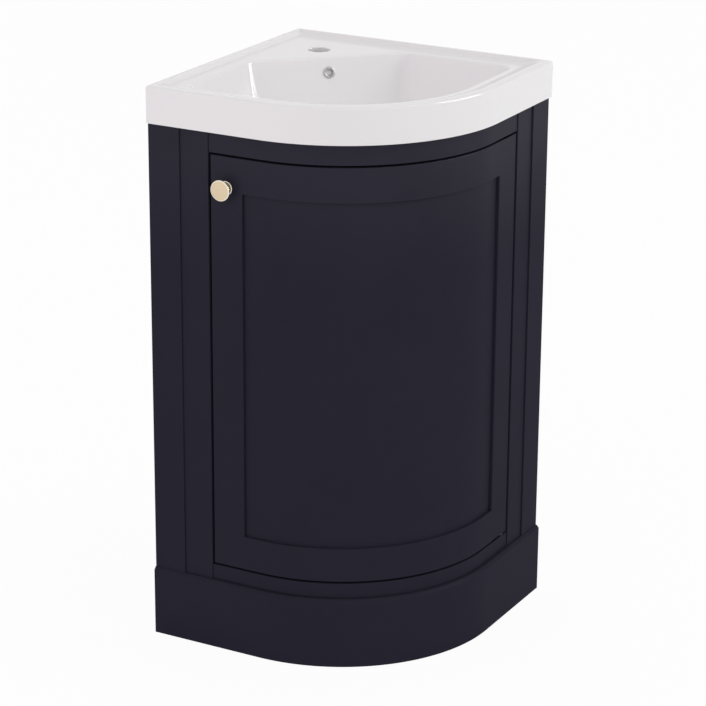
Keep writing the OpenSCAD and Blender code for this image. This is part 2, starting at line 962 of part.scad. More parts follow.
module overflow_duct() {
    middle = channel_width / 2;
    top = [channel_back + middle, deck_level - overflow_drop];
    bend = [channel_back + middle, channel_bend + middle / 2];
    foot = [channel_foot + middle / 2, duct_level];
    on_diagonal() {
        duct_run(top, bend);
        duct_run(bend, foot);
        duct_run(foot, [waste_reach, duct_level]);
        for (knee = [bend, foot]) translate([knee[0], 0, knee[1]]) sphere(r = duct_radius);
    }
}

module basin_body() {
    middle = wall_length - apron_board / 2;
    bow(wall_length, 0) difference() {
        translate([-apron_board, cabinet_height]) square([apron_board, basin_height]);
        difference() {
            translate([-rim_round, rim_level - rim_round]) square(rim_round + cut);
            translate([-rim_round, rim_level - rim_round]) circle(r = rim_round);
        }
    }
    block([0, apron_board], [0, middle], [cabinet_height, rim_level]);
    block([0, middle], [0, apron_board], [cabinet_height, rim_level]);
    translate([0, 0, deck_level - deck_board])
        linear_extrude(height = deck_board + deck_drop) plan(middle);
}

module basin() {
    color(ceramic) difference() {
        union() {
            basin_body();
            bowl_form(bowl_board, deck_level);
            overflow_channel();
            translate([waste_place, -waste_place, boss_level])
                cylinder(r = flange_radius, h = waste_boss + bowl_board);
        }
        deck_recess();
        bowl_form(0, rim_level);
        bowl_lip();
        translate([tap_place, -tap_place, deck_level - deck_board - cut])
            cylinder(r = tap_radius, h = deck_board + 2 * cut);
        translate([waste_place, -waste_place, boss_level - cut])
            cylinder(r = tail_radius + tail_fit, h = bowl_depth);
        on_overflow_axis() translate([0, 0, -overflow_reach])
            cylinder(r = overflow_radius, h = overflow_reach + cut);
        overflow_duct();
    }
}

module overflow_ring() {
    color(steel) on_overflow_axis() rotate_extrude() difference() {
        union() {
            translate([0, seat_gap]) square([ring_radius - ring_board / 2, ring_board]);
            translate([0, seat_gap]) square([ring_radius, ring_board / 2]);
            translate([0, seat_gap - overflow_reach / 2])
                square([overflow_radius - ring_fit, overflow_reach / 2 + ring_board]);
        }
        translate([0, -overflow_reach])
            square([overflow_radius - ring_fit - ring_board, 2 * overflow_reach]);
    }
}

// Waste -----------------------------------------------------------------------------------

module on_waste_axis() {
    translate([waste_place, -waste_place, floor_level]) children();
}

module waste_body() {
    color(steel) on_waste_axis() difference() {
        rotate_extrude() difference() {
            union() {
                translate([0, top_seal]) square([flange_radius - flange_board, flange_board]);
                translate([0, top_seal]) square([flange_radius, flange_board / 2]);
                translate([0, -tail_length]) square([tail_radius, tail_length + cut]);
                translate([0, -shank_length])
                    square([shank_radius, shank_length + top_seal + cut]);
            }
            translate([0, -tail_length - cut])
                square([tail_radius - tail_wall, 2 * tail_length]);
        }
        for (turn = [0, 90])
            rotate([0, 0, turn])
                translate([-flange_radius, -duct_radius, duct_level - floor_level - slot_half])
                    cube([2 * flange_radius, 2 * duct_radius, 2 * slot_half]);
    }
}

module waste_seals() {
    inner = shank_radius + screw_fit;
    color(rubber) on_waste_axis() {
        seal_ring(inner, flange_radius - 1, 0, top_seal);
        seal_ring(inner, flange_radius - 1, -seal_depth - under_seal, under_seal);
    }
}

module seal_ring(inner, outer, low, height) {
    translate([0, 0, low]) linear_extrude(height = height) difference() {
        circle(r = outer);
        circle(r = inner);
    }
}

module waste_nut() {
    color(steel) on_waste_axis()
        translate([0, 0, -seal_depth - under_seal - nut_height]) difference() {
            cylinder(r = nut_flats / 2 / cos(30), h = nut_height, $fn = 6);
            translate([0, 0, -cut]) cylinder(r = shank_radius + stem_fit, h = nut_height + 2 * cut);
        }
}

// The plug's guide: a barrel on three arms across the tail
module waste_cartridge() {
    reach = tail_radius - tail_wall - stem_fit;
    color(nylon) on_waste_axis() translate([0, 0, -cartridge_top - cartridge_length])
        difference() {
            union() {
                cylinder(r = cartridge_radius, h = cartridge_length);
                intersection() {
                    for (turn = [0, 120, 240])
                        rotate([0, 0, turn]) translate([0, -arm_board / 2, 0])
                            cube([tail_radius, arm_board, arm_height]);
                    cylinder(r = reach, h = arm_height);
                }
            }
            translate([0, 0, -cut])
                cylinder(r = stem_radius + stem_fit, h = cartridge_length + 2 * cut);
        }
}

module waste_plug() {
    cap = top_seal + flange_board + plug_gap;
    dome_radius = (pow(plug_radius, 2) + pow(plug_rise, 2)) / (2 * plug_rise);
    color(steel) on_waste_axis() rotate_extrude() {
        translate([0, cap]) square([plug_radius, flange_board]);
        intersection() {
            translate([0, cap + flange_board]) square([plug_radius, plug_rise]);
            translate([0, cap + flange_board + plug_rise - dome_radius])
                circle(r = dome_radius);
        }
        translate([0, -cartridge_top - cartridge_length + plug_travel / 2])
            square([stem_radius, cartridge_top + cartridge_length + cap]);
    }
}

plinth();
plinth_blocks();
base_panel();
left_side_panel();
right_side_panel();
corner_post();
corner_brace();
left_end_post();
right_end_post();
frame_left_stile();
frame_right_stile();
frame_top_rail();
frame_bottom_rail();
frame_pivot_plates();
pivot_pins();
frame_pivot_screws();
pivot_washer();
shelf();
shelf_pins();
catch_body();
catch_screws();
door_stops();
door_left_stile();
door_right_stile();
door_top_rail();
door_bottom_rail();
door_panel();
door_pivot_plates();
door_pivot_screws();
knob_rose();
knob();
knob_screw();
strike_plate();
strike_screws();
basin();
overflow_ring();
waste_body();
waste_seals();
waste_nut();
waste_cartridge();
waste_plug();
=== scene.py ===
"""Corner vanity unit: surfaces, ceramics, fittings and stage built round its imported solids."""

import math

import bmesh
import bpy
from mathutils import Matrix, Vector


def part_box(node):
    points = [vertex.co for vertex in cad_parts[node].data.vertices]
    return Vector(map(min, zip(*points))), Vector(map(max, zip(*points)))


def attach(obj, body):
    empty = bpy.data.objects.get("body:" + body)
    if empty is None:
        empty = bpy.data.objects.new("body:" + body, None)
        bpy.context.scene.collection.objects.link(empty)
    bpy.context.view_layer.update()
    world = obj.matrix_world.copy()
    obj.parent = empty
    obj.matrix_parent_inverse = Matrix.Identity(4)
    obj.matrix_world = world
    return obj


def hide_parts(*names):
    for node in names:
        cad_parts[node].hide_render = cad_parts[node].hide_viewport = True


bl_info = {
    "name": "Corner vanity unit",
    "version": (1, 0, 0),
    "blender": (4, 5, 0),
    "location": "3D View > Sidebar > Vanity",
    "description": "Builds the finished corner vanity unit round its solids",
    "category": "Add Mesh",
}

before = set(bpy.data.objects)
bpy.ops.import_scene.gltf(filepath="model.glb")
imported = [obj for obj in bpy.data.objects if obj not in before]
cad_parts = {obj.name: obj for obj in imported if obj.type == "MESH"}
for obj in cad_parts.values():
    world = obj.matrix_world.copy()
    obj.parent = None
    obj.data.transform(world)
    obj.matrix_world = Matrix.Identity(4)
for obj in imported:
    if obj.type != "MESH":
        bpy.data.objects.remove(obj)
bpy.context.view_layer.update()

UP = Vector((0, 0, 1))
TINY = 0.00002  # places nearer than this are taken as one
MERGE = 0.000001  # vertices nearer than this become one
STRAIGHT = 0.999  # an edge runs along an axis if so much of it does
ARRIS = math.radians(30)  # a board's edges that turn by more are eased
BOARD_CREASE, FORMED_CREASE = 15.0, 34.0  # degrees above which an edge stays crisp


# --- Measures taken from the solids ---


def low_of(node):
    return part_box(node)[0]


def high_of(node):
    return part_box(node)[1]


PLINTH_FACE = high_of("plinth").x
PLINTH_TOP = high_of("plinth").z
POST_FACE = high_of("right_end_post").x
POST_BACK = low_of("right_end_post").x
POST_EDGE = high_of("left_end_post").x
CABINET_TOP = high_of("left_end_post").z
FRAME_FACE = high_of("frame_right_stile").x
FRAME_BACK = low_of("frame_right_stile").x
OPENING_EDGE = high_of("frame_left_stile").x
OPENING_BOTTOM = high_of("frame_bottom_rail").z
OPENING_TOP = low_of("frame_top_rail").z
DOOR_EDGE = low_of("door_left_stile").x
PANEL_EDGE = high_of("door_left_stile").x
DOOR_BOTTOM = low_of("door_left_stile").z
DOOR_TOP = high_of("door_left_stile").z
PANEL_BOTTOM = high_of("door_bottom_rail").z
PANEL_TOP = low_of("door_top_rail").z
KNOB_PLACE = (low_of("knob") + high_of("knob")) / 2
RIM_LEVEL = high_of("basin").z
WASTE_PLACE = (low_of("waste_body") + high_of("waste_body")) / 2


# --- Properties ---


def number(name, description, default, **more):
    return bpy.props.FloatProperty(
        name=name, description=description, default=default, min=0.0, **more
    )


def length(name, description, default):
    return number(name, description, default, unit="LENGTH", precision=4)


def power(name, description, default):
    return number(name, description, default, subtype="POWER")


def colour(name, description, default):
    return bpy.props.FloatVectorProperty(
        name=name, description=description, default=default, min=0.0, max=1.0, subtype="COLOR"
    )


class VanityCabinetSettings(bpy.types.PropertyGroup):
    end_flat: length("End flat", "Straight length of the front at each wall", 0.176)
    plinth_bevel: length("Plinth bevel", "Bevel on the plinth's top outer edge", 0.004)
    plinth_board: length("Plinth board", "Thickness of the bent plinth", 0.018)
    board_edge: length("Board edge", "Rounding of the painted boards' arrises", 0.0009)
    panel_edge: length("Panel edge", "Rounding of the door frame's inner arrises", 0.0014)
    stile_step: length("Stile step", "Step from the face frame's stiles to its rails", 0.0015)
    panel_board: length("Panel thickness", "Thickness of the door's bent panel", 0.006)
    # The paint's sheen is painted light: it fades downwards from the cabinet's top
    sheen_drop: length("Sheen drop", "Drop over which the paint's sheen fades", 0.22)
    bow_steps: bpy.props.IntProperty(
        name="Bow steps", description="Faces along each bent board", default=72, min=12
    )


class VanityKnobSettings(bpy.types.PropertyGroup):
    rose_radius: length("Rose radius", "Radius of the knob's rose", 0.0105)
    rose_board: length("Rose thickness", "Thickness of the knob's rose", 0.003)
    neck_radius: length("Neck radius", "Radius of the knob's neck", 0.005)
    head_radius: length("Head radius", "Radius of the knob's head", 0.015)
    head_reach: length("Head reach", "Distance from the door to the head's rim", 0.015)
    head_rim: length("Rim thickness", "Thickness of the head's rim", 0.0024)
    border: length("Border", "Width of the plain border round the head's dome", 0.0020)
    dome_rise: length("Dome rise", "Rise of the head's dome", 0.0036)


class VanityBasinSettings(bpy.types.PropertyGroup):
    rim_round: length("Rim rounding", "Rounding of the outer top edge", 0.004)
    foot_round: length("Foot rounding", "Rounding of the apron's foot", 0.0012)
    deck_drop: length("Deck drop", "Drop from the rim to the deck", 0.0065)
    deck_board: length("Deck thickness", "Thickness of the deck", 0.014)
    apron_board: length("Apron thickness", "Thickness of the apron", 0.013)
    upstand_top: length("Upstand top", "Width of the upstand's flat top", 0.005)
    upstand_cove: length("Upstand cove", "Width of the cove below the upstand", 0.007)
    rim_top: length("Rim top", "Width of the rim's flat top", 0.008)
    rim_slope: length("Rim slope", "Width of the rim's slope to the deck", 0.030)
    deck_round: length("Deck corner", "Radius of the deck's corners", 0.030)
    bowl_front: length("Bowl front", "Distance from the front to the bowl", 0.046)
    bowl_wall: length("Bowl side", "Distance from the walls to the bowl", 0.036)
    bowl_back: length("Bowl back", "Distance along a wall to the bowl's back edge", 0.237)
    bowl_depth: length("Bowl depth", "Depth of the bowl", 0.110)
    bowl_round: length("Bowl corner", "Radius of the bowl's upright corners", 0.022)
    bowl_curve: length("Bowl curve", "Radius of the turn from wall to floor", 0.062)
    bowl_board: length("Bowl thickness", "Thickness of the bowl's wall", 0.009)
    lip_round: length("Lip rounding", "Rounding where the deck turns down", 0.0045)
    tap_radius: length("Tap hole radius", "Radius of the tap hole", 0.016)
    tap_round: length("Tap hole rounding", "Rounding of the tap hole's edge", 0.0018)
    tap_place: length("Tap hole place", "Distance of the tap hole from either wall", 0.083)
    waste_radius: length("Waste hole radius", "Radius of the waste hole", 0.02295)
    boss_radius: length("Boss radius", "Radius of the boss round the waste hole", 0.032)
    boss_depth: length("Boss depth", "Depth of the boss from the bowl's floor", 0.015)
    waste_place: length("Waste place", "Distance of the waste from either wall", 0.212)
    overflow_radius: length("Overflow radius", "Radius of the overflow's hole", 0.007)
    overflow_drop: length("Overflow drop", "Drop of the overflow below the deck", 0.022)
    duct_width: length("Duct width", "Width of the overflow duct's casing", 0.026)
    ring_radius: length("Ring radius", "Radius of the overflow's ring", 0.0085)


class VanityColourSettings(bpy.types.PropertyGroup):
    paint: colour("Paint", "Satin paint on the cabinet", (0.0252, 0.0234, 0.0365))
    board: colour("Board", "Foil on the inner boards", (0.16, 0.16, 0.185))
    core: colour("Core", "Cut edges of the inner boards", (0.33, 0.24, 0.15))
    glaze: colour("Glaze", "Glazed ceramic", (0.915, 0.900, 0.907))
    gold: colour("Gold", "Metal of the knob", (0.73, 0.59, 0.41))
    bright_gold: colour("Bright gold", "Polished metal of the knob", (0.86, 0.79, 0.66))
    # Painted shade: the colour of the hollow behind the knob's head, darkened as it looks in shade
    shade_gold: colour("Dark gold", "Dulled metal behind the knob's head", (0.22, 0.18, 0.11))
    pivots: colour("Pivots", "Blackened steel of the pivots", (0.035, 0.035, 0.038))
    zinc: colour("Zinc", "Plated fittings", (0.60, 0.61, 0.63))
    chrome: colour("Chrome", "Plated waste and ring", (0.41, 0.415, 0.42))
    nylon: colour("Nylon", "Moulded fittings", (0.045, 0.045, 0.048))
    rubber: colour("Rubber", "Seals", (0.018, 0.018, 0.018))


class VanityStageSettings(bpy.types.PropertyGroup):
    floor_size: length("Floor size", "Side of the floor", 60.0)
    floor_colour: colour("Floor", "Colour of the floor", (0.95, 0.95, 0.95))
    shadow_share: number("Shadow", "Share of the floor's own light, which keeps the shadow", 0.05)
    sky_level: number("Sky", "Level of the light from all round", 0.67)
    key_power: power("Key light", "Power of the light at the right", 33.0)
    fill_power: power("Fill light", "Power of the light from the front", 35.0)
    window_power: power("Window", "Power of the highlight at the right", 330.0)
    lens: bpy.props.FloatProperty(
        name="Lens", description="Focal length of the camera", default=140.2, min=1.0,
        unit="CAMERA",
    )


GROUPS = {
    "vanity_cabinet": VanityCabinetSettings,
    "vanity_knob": VanityKnobSettings,
    "vanity_basin": VanityBasinSettings,
    "vanity_colours": VanityColourSettings,
    "vanity_stage": VanityStageSettings,
}


# --- Finishes ---


def shade(tint, share):
    """A colour, lighter or darker by a share."""
    return (*(min(1.0, channel * share) for channel in tint), 1.0)


class Wire:
    """A shader output that takes part in arithmetic; each sum adds a Math node."""

    def __init__(self, finish, socket):
        self.finish = finish
        self.socket = socket

    def _with(self, operation, first, second):
        return self.finish.node("Math", {"operation": operation}, {0: first, 1: second})

    def __add__(self, other):
        return self._with("ADD", self, other)

    def __radd__(self, other):
        return self._with("ADD", other, self)

    def __sub__(self, other):
        return self._with("SUBTRACT", self, other)

    def __rsub__(self, other):
        return self._with("SUBTRACT", other, self)

    def __mul__(self, other):
        return self._with("MULTIPLY", self, other)

    def __rmul__(self, other):
        return self._with("MULTIPLY", other, self)

    def __gt__(self, other):
        return self._with("GREATER_THAN", self, other)

    def output(self, name):
        """Another output of the same node, by its name."""
        return Wire(self.finish, self.socket.node.outputs[name])


class Finish:
    """A material, or a world, whose nodes are added one at a time."""

    def __init__(self, name, kind="materials"):
        self.material = getattr(bpy.data, kind).new(name)
        self.material.use_nodes = True
        self.tree = self.material.node_tree
        self.tree.nodes.clear()

    def node(self, kind, settings=None, inputs=None):
        """Adds a node, sets it up, then gives its sockets their values or links."""
        made = self.tree.nodes.new("ShaderNode" + kind)
        for name, value in (settings or {}).items():
            setattr(made, name, value)
        for name, value in (inputs or {}).items():
            if isinstance(value, Wire):
                self.tree.links.new(value.socket, made.inputs[name])
            else:
                made.inputs[name].default_value = value
        return Wire(self, next(s for s in made.outputs if s.enabled)) if made.outputs else None

    def place(self):
        """The point on the object."""
        return self.node("TexCoord").output("Object")

    def noise(self, scale, detail=2.0, roughness=0.5, vector=None):
        """Soft noise over the object, or over a vector of its own."""
        where = vector or self.place()
        inputs = {"Vector": where, "Scale": scale, "Detail": detail, "Roughness": roughness}
        return self.node("TexNoise", {}, inputs)

    def blend(self, factor, first, second):
        """A colour between two, given as wires or as colours."""
        return self.node("Mix", {"data_type": "RGBA"}, {0: factor, 6: first, 7: second})

    def tones(self, factor, tint, darker, lighter):
        """A colour that runs between two shares of one tint."""
        return self.blend(factor, shade(tint, darker), shade(tint, lighter))

    def bump(self, height, distance, normal=None):
        """A relief of a given depth, on top of another where one is given."""
        inputs = {"Height": height, "Distance": distance, "Strength": 1.0}
        if normal:
            inputs["Normal"] = normal
        return self.node("Bump", {}, inputs)

    def surface(self, **inputs):
        """Closes the material with one shader, whose sockets are given by name."""
        named = {name.replace("_", " "): value for name, value in inputs.items()}
        shader = self.node("BsdfPrincipled", {}, named)
        self.node("OutputMaterial", {}, {"Surface": shader})
        return self.material


def painted(tint, sheen_drop):
    """Satin paint over smooth board: a faint orange peel, and a painted sheen that grows towards
    the cabinet's top.
    """
    finish = Finish("satin_paint")
    broad = finish.noise(7.0, 3.0)
    cloud = finish.noise(46.0, 4.0, 0.6)
    peel = finish.noise(420.0, 2.0, 0.55)
    grain = finish.noise(1700.0, 1.0)
    colour_now = finish.tones(broad * 0.6 + cloud * 0.4, tint, 0.86, 1.14)
    relief = finish.bump(peel * 0.8 + grain * 0.2, 0.00006)
    # Painted sheen: the coat is stronger towards the cabinet's top, standing in for light from
    # above
    height = finish.node("SeparateXYZ", {}, {0: finish.place()}).output("Z")
    span = {"Value": height, "From Min": CABINET_TOP - sheen_drop, "From Max": CABINET_TOP}
    painted_sheen = finish.node("MapRange", {"interpolation_type": "SMOOTHSTEP"}, span)
    return finish.surface(
        Base_Color=colour_now, Roughness=0.36 + cloud * 0.10 + peel * 0.05,
        Specular_IOR_Level=0.005, Coat_Weight=painted_sheen * (0.12 + broad * 0.08),
        Coat_Roughness=0.35, Normal=relief,
    )


def foiled(name, tint, core, along):
    """Foil-faced board. Faces square to the axis show foil, and cut edges the core."""
    finish = Finish(name)
    normal = finish.node("NewGeometry").output("Normal")
    parts = finish.node("SeparateXYZ", {}, {0: normal})
    facing = finish.node("Math", {"operation": "ABSOLUTE"}, {0: parts.output(along)})
    foil = facing > 0.7
    tooth = finish.noise(900.0, 2.0)
    chips = finish.node("TexVoronoi", {"feature": "F1"}, {"Vector": finish.place(), "Scale": 520.0})
    flecks = chips.output("Color")
    face = finish.tones(finish.noise(20.0, 3.0), tint, 0.93, 1.07)
    edge = finish.blend(0.35, finish.tones(tooth, core, 0.7, 1.25), flecks)
    edge = finish.blend(0.75, edge, shade(core, 1.0))
    relief = finish.bump(tooth * foil + chips.output("Distance") * (1 - foil), 0.00012)
    return finish.surface(
        Base_Color=finish.blend(foil, edge, face), Roughness=0.86 - foil * 0.38 + tooth * 0.06,
        Specular_IOR_Level=0.35, Normal=relief,
    )


def glazed(tint):
    """White glaze on fired clay: a deep gloss that wanders a little as it flowed."""
    finish = Finish("ceramic_glaze")
    broad = finish.noise(9.0, 2.0)
    flow = finish.noise(34.0, 2.0)
    specks = finish.noise(900.0, 1.0)
    colour_now = finish.tones(broad, tint, 0.985, 1.015)
    relief = finish.bump(flow, 0.00004, finish.bump(specks, 0.000004))
    return finish.surface(
        Base_Color=colour_now, Roughness=0.075 + flow * 0.04 + (specks > 0.72) * 0.05,
        Specular_IOR_Level=0.20, Coat_Weight=0.10, Coat_Roughness=0.03, Normal=relief,
    )


def turned_gold(colours, centre, dome_radius, dome_foot, hollow):
    """Gold turned on a lathe about Y: polished, but for its satin dome and a painted shade in the
    hollow behind its head.

    The hollow is given by its two ends, ahead of the centre, and its radius.
    """
    finish = Finish("brushed_gold")
    moved = finish.node(
        "Mapping", {"vector_type": "TEXTURE"}, {"Vector": finish.place(), "Location": centre}
    )
    parts = finish.node("SeparateXYZ", {}, {0: moved})
    across, height = parts.output("X"), parts.output("Z")
    radius = finish.node(
        "Math", {"operation": "SQRT"}, {0: across * across + height * height}
    )
    rings = finish.node("CombineXYZ", {}, {0: radius * 9000.0, 1: parts.output("Y") * 9000.0})
    fine = finish.noise(1.0, 2.0, 0.5, rings)
    handled = finish.noise(160.0, 3.0)
    ahead = 0 - parts.output("Y")
    satin = (ahead > dome_foot) * (1 - (radius > dome_radius))
    worn = fine * 0.5 + handled * 0.5
    polished = finish.tones(worn, colours.bright_gold, 0.95, 1.05)
    colour_now = finish.blend(satin, polished, finish.tones(worn, colours.gold, 0.90, 1.10))
    # Painted shade: the hollow between the rose and the head is coloured dark, as it looks in shade
    nearest, furthest, width = hollow
    shaded_hollow = (ahead > nearest) * (1 - (ahead > furthest)) * (1 - (radius > width))
    painted_shade = finish.tones(handled, colours.shade_gold, 0.80, 1.20)
    colour_now = finish.blend(shaded_hollow, colour_now, painted_shade)
    return finish.surface(
        Base_Color=colour_now, Metallic=1.0,
        Roughness=0.22 - satin * 0.05 + fine * 0.05 + handled * 0.05,
        Normal=finish.bump(fine, 0.000012),
    )


def plated(name, tint, roughness, mottle):
    """Plated metal, with the mottle of its bath and light marks of handling."""
    finish = Finish(name)
    bath = finish.noise(260.0, 4.0, 0.6)
    streaks = {"Vector": finish.place(), "Scale": (900.0, 900.0, 120.0)}
    marks = finish.noise(1.0, 3.0, 0.6, finish.node("Mapping", {}, streaks))
    colour_now = finish.tones(bath, tint, 1.0 - mottle, 1.0 + mottle)
    return finish.surface(
        Base_Color=colour_now, Metallic=1.0, Roughness=roughness + bath * 0.08 + marks * 0.05,
        Normal=finish.bump(marks, 0.000006),
    )


def moulded(name, tint, roughness, texture):
    """Moulded plastic or rubber with an even spark-eroded skin."""
    finish = Finish(name)
    skin = finish.noise(1500.0, 2.0, 0.6)
    cloud = finish.noise(60.0, 2.0)
    return finish.surface(
        Base_Color=finish.tones(cloud, tint, 0.94, 1.06), Roughness=roughness + skin * 0.12,
        Normal=finish.bump(skin, texture),
    )


# --- Pieces ---


def mesh_of(name, shape):
    """A mesh made from a bmesh, which is freed."""
    mesh = bpy.data.meshes.new(name)
    shape.to_mesh(mesh)
    shape.free()
    return mesh


def linked(name, data):
    """A new object in the scene."""
    made = bpy.data.objects.new(name, data)
    bpy.context.scene.collection.objects.link(made)
    return made


def soften(piece, crease):
    """Smooth shading in which the broad faces stay flat and only their arrises turn."""
    piece.data.shade_smooth()
    piece.data.set_sharp_from_angle(angle=math.radians(crease))
    weighting = piece.modifiers.new("flat_faces", "WEIGHTED_NORMAL")
    weighting.keep_sharp = True


def finished(name, shape, body, slot, material, *nodes):
    """Turns a bmesh into a piece that rides on a body and stands for its solids."""
    bmesh.ops.remove_doubles(shape, verts=shape.verts, dist=MERGE)
    bmesh.ops.recalc_face_normals(shape, faces=shape.faces)
    piece = linked(name, mesh_of(name, shape))
    piece.data.materials.append(material)
    soften(piece, BOARD_CREASE if slot == "navy" else FORMED_CREASE)
    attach(piece, body)
    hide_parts(*nodes)
    return piece


def dress(material, *nodes):
    """Gives solids that are shown as they are a finish."""
    for node in nodes:
        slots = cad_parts[node].data.materials
        if len(slots):
            slots[0] = material
        else:
            slots.append(material)


# --- Boards ---


def ease(shape, edges, width, segments=3):
    """Rounds the arrises of a board."""
    if edges and width > 0:
        bmesh.ops.bevel(
            shape, geom=list(edges), offset=width, offset_type="OFFSET", affect="EDGES",
            segments=segments, profile=0.5, material=-1, clamp_overlap=True,
        )


def sharp_edges(shape, keep_clear):
    """Arrises of a shape, apart from those that bound a face in a joint."""
    return [
        e for e in shape.edges
        if e.calc_face_angle(0.0) >= ARRIS and not any(keep_clear(f) for f in e.link_faces)
    ]


def board_section(thickness, low, high):
    """The section of a bent board, from points of distance to its face and height."""
    return [(-thickness, low), (0.0, low), (0.0, high), (-thickness, high)]


def bow_board(cabinet, face, start, section, width, ends_show=False):
    """A board bent to the bow, swept from the right-hand wall to the left-hand one."""
    shape = bmesh.new()
    points = [shape.verts.new((face + out, -start, level)) for out, level in section]
    outline = [shape.edges.new(pair) for pair in zip(points, points[1:] + points[:1])]
    flat = cabinet.end_flat
    run = flat - start

    def rims(parts):
        return [e for e in parts if isinstance(e, bmesh.types.BMEdge) and e.is_boundary]

    def carry_on(edges, step):
        made = bmesh.ops.extrude_edge_only(shape, edges=edges)["geom"]
        moved = [v for v in made if isinstance(v, bmesh.types.BMVert)]
        bmesh.ops.translate(shape, vec=step, verts=moved)
        return rims(made)

    around = bmesh.ops.spin(
        shape, geom=carry_on(outline, (0, -run, 0)), cent=(flat, -flat, 0), axis=UP,
        angle=-math.pi / 2, steps=cabinet.bow_steps, use_merge=False,
    )
    carry_on(rims(around["geom_last"]), (-run, 0, 0))
    bmesh.ops.remove_doubles(shape, verts=shape.verts, dist=MERGE)
    bmesh.ops.holes_fill(shape, edges=[e for e in shape.edges if e.is_boundary], sides=0)
    bmesh.ops.recalc_face_normals(shape, faces=shape.faces)

    def in_joint(side):
        centre = side.calc_center_median()
        at_end = abs(centre.y + start) < TINY or abs(centre.x - start) < TINY
        return at_end and not ends_show

    ease(shape, sharp_edges(shape, in_joint), width)
    return shape


def straight_board(low, high):
    """A board between two corners."""
    low, high = Vector(low), Vector(high)
    shape = bmesh.new()
    bmesh.ops.create_cube(shape, size=1.0)
    bmesh.ops.scale(shape, vec=high - low, verts=shape.verts)
    bmesh.ops.translate(shape, vec=(low + high) / 2, verts=shape.verts)
    return shape


def cut_across(shape, *levels):
    """Adds level cuts, so that an arris can be eased along part of its length."""
    for level in levels:
        bmesh.ops.bisect_plane(
            shape, geom=[*shape.verts, *shape.edges, *shape.faces],
            plane_co=(0, 0, level), plane_no=UP,
        )


def edges_along(shape, axis, low=0.0, high=math.inf, **place):
    """Edges along an axis at a place, such as x=0.1, whose middles lie between two levels."""
    found = []
    for edge in shape.edges:
        first, second = (v.co for v in edge.verts)
        middle, way = (first + second) / 2, (second - first).normalized()
        at_place = all(abs(getattr(middle, name) - at) < TINY for name, at in place.items())
        if at_place and abs(getattr(way, axis)) > STRAIGHT and low <= middle.z <= high:
            found.append(edge)
    return found


def to_right_hand(shape):
    """Mirrors a left-hand piece across the unit's diagonal."""
    mirror = Matrix(((0, -1, 0), (-1, 0, 0), (0, 0, 1))).to_4x4()
    bmesh.ops.transform(shape, matrix=mirror, verts=shape.verts)


def painted_board(name, shape, body, node):
    """Finishes a board with the cabinet's paint."""
    paint = bpy.data.materials["satin_paint"]
    finished(name, shape, body, "navy", paint, node)


def mirrored_pair(build, body, name, node):
    """An upright board at the left, and its mirror image at the right."""
    for side in ("left", "right"):
        shape = build()
        if side == "right":
            to_right_hand(shape)
        painted_board(name.format(side), shape, body, node.format(side))


def bent_rails(cabinet, start, levels, body, name, node, ends_show=False):
    """The top and bottom rails between two stiles."""
    for place, (low, high) in levels.items():
        section = board_section(FRAME_FACE - FRAME_BACK, low, high)
        rail = bow_board(cabinet, FRAME_FACE, start, section, cabinet.board_edge, ends_show)
        painted_board(name.format(place), rail, body, node.format(place))


# --- Turned shapes ---


def lathe(profile, steps=96):
    """A turned shape about Z, from points of radius and height."""
    shape = bmesh.new()
    points = [shape.verts.new((radius, 0, height)) for radius, height in profile]
    edges = [shape.edges.new(pair) for pair in zip(points, points[1:])]
    bmesh.ops.spin(
        shape, geom=edges, cent=(0, 0, 0), axis=UP, angle=math.tau, steps=steps,
        use_merge=True,
    )
    bmesh.ops.remove_doubles(shape, verts=shape.verts, dist=MERGE)
    return shape


def sine(degrees):
    return math.sin(math.radians(degrees))


def cosine(degrees):
    return math.cos(math.radians(degrees))


def arc(centre, radius, first, last, steps):
    """Points on an arc of a profile, between two angles in degrees."""
    across, up = centre
    angles = [first + (last - first) * i / steps for i in range(steps + 1)]
    return [(across + radius * cosine(a), up + radius * sine(a)) for a in angles]


def dome_arc(reach, rise, crown):
    """Points on a shallow dome's profile, from its rim to its crown."""
    radius = (reach ** 2 + rise ** 2) / (2 * rise)
    spread = math.degrees(math.asin(reach / radius))
    return arc((0.0, crown - radius), radius, 90 - spread, 90, 24)


def stand(shape, origin, axis):
    """Stands a shape turned about Z on a point, along an axis."""
    turn = axis.to_track_quat("Z", "Y").to_matrix().to_4x4()
    move = Matrix.Translation(origin) @ turn
    bmesh.ops.transform(shape, matrix=move, verts=shape.verts)


# --- Outlines of the basin ---


def rounded(corners):
    """A closed loop through corners given as (point, radius, steps, points on the next side)."""
    arcs = []
    count = len(corners)
    for i, (point, radius, steps, _) in enumerate(corners):
        before = (Vector(corners[i - 1][0]) - Vector(point)).normalized()
        after = (Vector(corners[(i + 1) % count][0]) - Vector(point)).normalized()
        half = before.angle(after) / 2
        away = (before + after).normalized()
        centre = Vector(point) + away * (radius / math.sin(half))
        start = Vector(point) + before * (radius / math.tan(half)) - centre
        sweep = (math.pi - 2 * half) * (1 if before.cross(after) > 0 else -1)
        turns = [Matrix.Rotation(-sweep * step / steps, 2) for step in range(steps + 1)]
        arcs.append([centre + turn @ start for turn in turns])
    points = []
    for i, turned in enumerate(arcs):
        between = corners[i][3]
        last, ahead = turned[-1], arcs[(i + 1) % count][0]
        points += turned
        points += [last.lerp(ahead, (j + 1) / (between + 1)) for j in range(between)]
    return points


